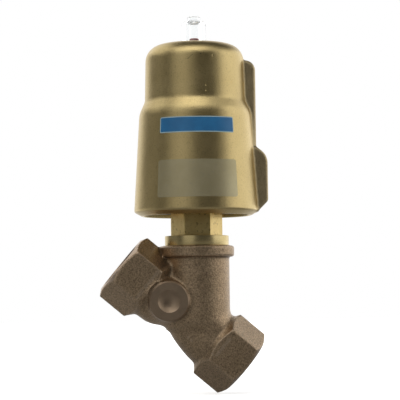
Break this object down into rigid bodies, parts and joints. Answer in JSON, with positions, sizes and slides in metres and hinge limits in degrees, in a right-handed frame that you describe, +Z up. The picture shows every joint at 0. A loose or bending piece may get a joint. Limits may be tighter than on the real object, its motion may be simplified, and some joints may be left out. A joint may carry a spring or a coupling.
{
  "type": "angle seat valve",
  "caption": "Pneumatic angle seat valve: brass piston actuator with a clear position indicator, swivelling on a slanted bronze body with two internally threaded hexagonal ports.",
  "frame": {"origin": "centre of the inlet (lower) port's end face", "axes": "+Z up along the stem and actuator; the pipe axis lies in the XZ plane and leaves the inlet towards +X and down at 40 degrees; +X towards the inlet port and the air boss at rest; the label faces -Y"},
  "size_m": [0.0824, 0.061, 0.1851],
  "materials": {
    "cast_bronze": "sand-cast red bronze, grainy, brown",
    "turned_brass": "turned brass, fine tool marks",
    "blasted_brass": "bead-blasted brass casting, satin",
    "bearing_bronze": "plain bearing bronze",
    "gasket_fibre": "compressed fibre",
    "white_ptfe": "PTFE, waxy",
    "stainless_steel": "turned stainless steel",
    "spring_steel": "drawn spring wire",
    "piston_aluminium": "turned aluminium",
    "black_rubber": "nitrile rubber",
    "red_plastic": "moulded, red brown",
    "clear_plastic": "clear moulded plastic, polished",
    "label_foil": "blank silver foil, satin",
    "blue_print": "blue print with a pale edge"
  },
  "bodies": {
    "valve": {"valve_body": "cast_bronze", "bonnet": "turned_brass", "bonnet_gasket": "gasket_fibre", "gland_nut": "turned_brass", "rod_wiper": "white_ptfe", "packing_support_ring": "stainless_steel", "chevron_rings": "white_ptfe", "packing_header_ring": "stainless_steel", "packing_spring": "spring_steel", "packing_spring_washer": "stainless_steel", "spindle_bush": "bearing_bronze", "rod_seal": "black_rubber", "base_o_ring": "black_rubber"},
    "stem": {"spindle": "stainless_steel", "piston": "piston_aluminium", "piston_seal": "black_rubber", "piston_guide_ring": "white_ptfe", "piston_o_ring": "black_rubber", "piston_washer": "stainless_steel", "piston_nut": "stainless_steel", "indicator_rod": "red_plastic"},
    "plug": {"valve_disc": "stainless_steel", "disc_seal": "white_ptfe", "disc_clamp_washer": "stainless_steel", "disc_nut": "stainless_steel", "disc_retainer_ring": "spring_steel"},
    "actuator": {"actuator_housing": "blasted_brass", "retaining_ring": "spring_steel", "main_spring_outer": "spring_steel", "main_spring_inner": "spring_steel", "spring_plate": "stainless_steel", "indicator_cap": "clear_plastic", "indicator_cap_o_ring": "black_rubber", "data_label": "label_foil", "colour_band": "blue_print"}
  },
  "joints": [
    {"name": "stem_travel", "type": "slide", "parent": "valve", "child": "stem", "axis": [0, 0, 1], "range_m": [0, 0.007], "stiffness_N_per_m": 9000, "springref_m": -0.02, "deforming": ["main_spring_outer", "main_spring_inner"]},
    {"name": "plug_swivel", "type": "hinge", "parent": "stem", "child": "plug", "pos_m": [-0.02237, 0, 0.01877], "axis": [0, 0, 1], "continuous": true},
    {"name": "actuator_swivel", "type": "hinge", "parent": "valve", "child": "actuator", "pos_m": [-0.02237, 0, 0.01877], "axis": [0, 0, 1], "continuous": true}
  ]
}
